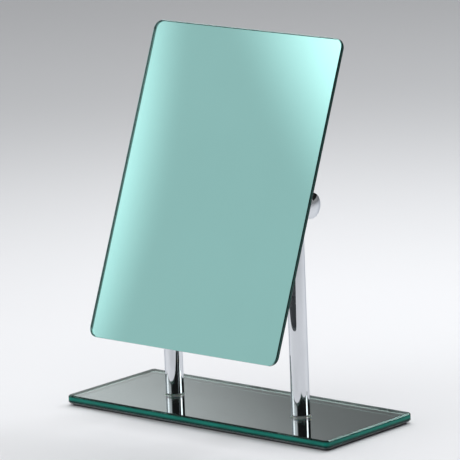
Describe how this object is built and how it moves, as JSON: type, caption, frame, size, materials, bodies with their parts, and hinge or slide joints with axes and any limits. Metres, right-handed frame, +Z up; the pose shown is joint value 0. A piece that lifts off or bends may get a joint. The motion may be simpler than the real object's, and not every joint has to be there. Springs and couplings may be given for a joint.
{
  "type": "countertop mirror",
  "caption": "Frameless tilting mirror held between two chrome posts on a rectangular silvered glass base, with round clamping knobs on its pivot.",
  "frame": {"origin": "on the counter, at the middle of the base's resting face", "axes": "+Z up, the longest extent; +X to the right of a person who looks into the mirror; -Y towards that person, with +Y the shortest extent"},
  "size_m": [0.33, 0.144, 0.3716],
  "materials": {
    "base_glass": "clear float glass with a green cast and polished edges",
    "base_silver": "silvered",
    "felt": "black self-adhesive felt",
    "gasket": "clear soft plastic",
    "nylon": "natural nylon",
    "chrome": "polished chrome plate",
    "steel": "zinc plated",
    "bracket_steel": "satin black powder coat",
    "mirror_glass": "clear float glass with a green cast and polished edges",
    "mirror_silver": "silvered",
    "back_panel": "fine satin plastic sheet",
    "tape": "foam tape"
  },
  "bodies": {
    "stand": {"base_glass": "base_glass", "base_silvering": "base_silver", "base_felt": "felt", "post_gaskets": "gasket", "hole_liners": "nylon", "post_screws": "steel", "post_left": "chrome", "post_right": "chrome", "post_plug_left": "steel", "post_plug_right": "steel", "post_cap_left": "chrome", "post_cap_right": "chrome", "pivot_bush_left": "nylon", "pivot_bush_right": "nylon", "outer_saddle_left": "nylon", "outer_saddle_right": "nylon", "inner_saddle_left": "nylon", "inner_saddle_right": "nylon"},
    "mirror_head": {"mirror_glass": "mirror_glass", "mirror_silvering": "mirror_silver", "mirror_back_panel": "back_panel", "bond_tape": "tape", "pivot_bracket": "bracket_steel", "pivot_nut_left": "steel", "pivot_nut_right": "steel"},
    "left_washer": {"spring_washer_left": "steel"},
    "left_knob": {"knob_left": "chrome", "stud_left": "steel"},
    "right_washer": {"spring_washer_right": "steel"},
    "right_knob": {"knob_right": "chrome", "stud_right": "steel"}
  },
  "joints": [
    {"name": "mirror_tilt", "type": "hinge", "parent": "stand", "child": "mirror_head", "pos_m": [0, 0, 0.2167], "axis": [-1, 0, 0], "range_deg": [-24.2, 160.8]},
    {"name": "left_knob_travel", "type": "slide", "parent": "mirror_head", "child": "left_washer", "axis": [-1, 0, 0], "range_m": [0, 0.001]},
    {"name": "left_knob_turn", "type": "hinge", "parent": "left_washer", "child": "left_knob", "pos_m": [-0.0918, 0, 0.2167], "axis": [-1, 0, 0], "range_deg": [0, 360]},
    {"name": "right_knob_travel", "type": "slide", "parent": "mirror_head", "child": "right_washer", "axis": [1, 0, 0], "range_m": [0, 0.001]},
    {"name": "right_knob_turn", "type": "hinge", "parent": "right_washer", "child": "right_knob", "pos_m": [0.0918, 0, 0.2167], "axis": [1, 0, 0], "range_deg": [0, 360]}
  ],
  "couplings": [
    {"joint": "left_knob_turn", "follows": "left_knob_travel", "rad_per_m": 6283},
    {"joint": "right_knob_turn", "follows": "right_knob_travel", "rad_per_m": 6283}
  ]
}
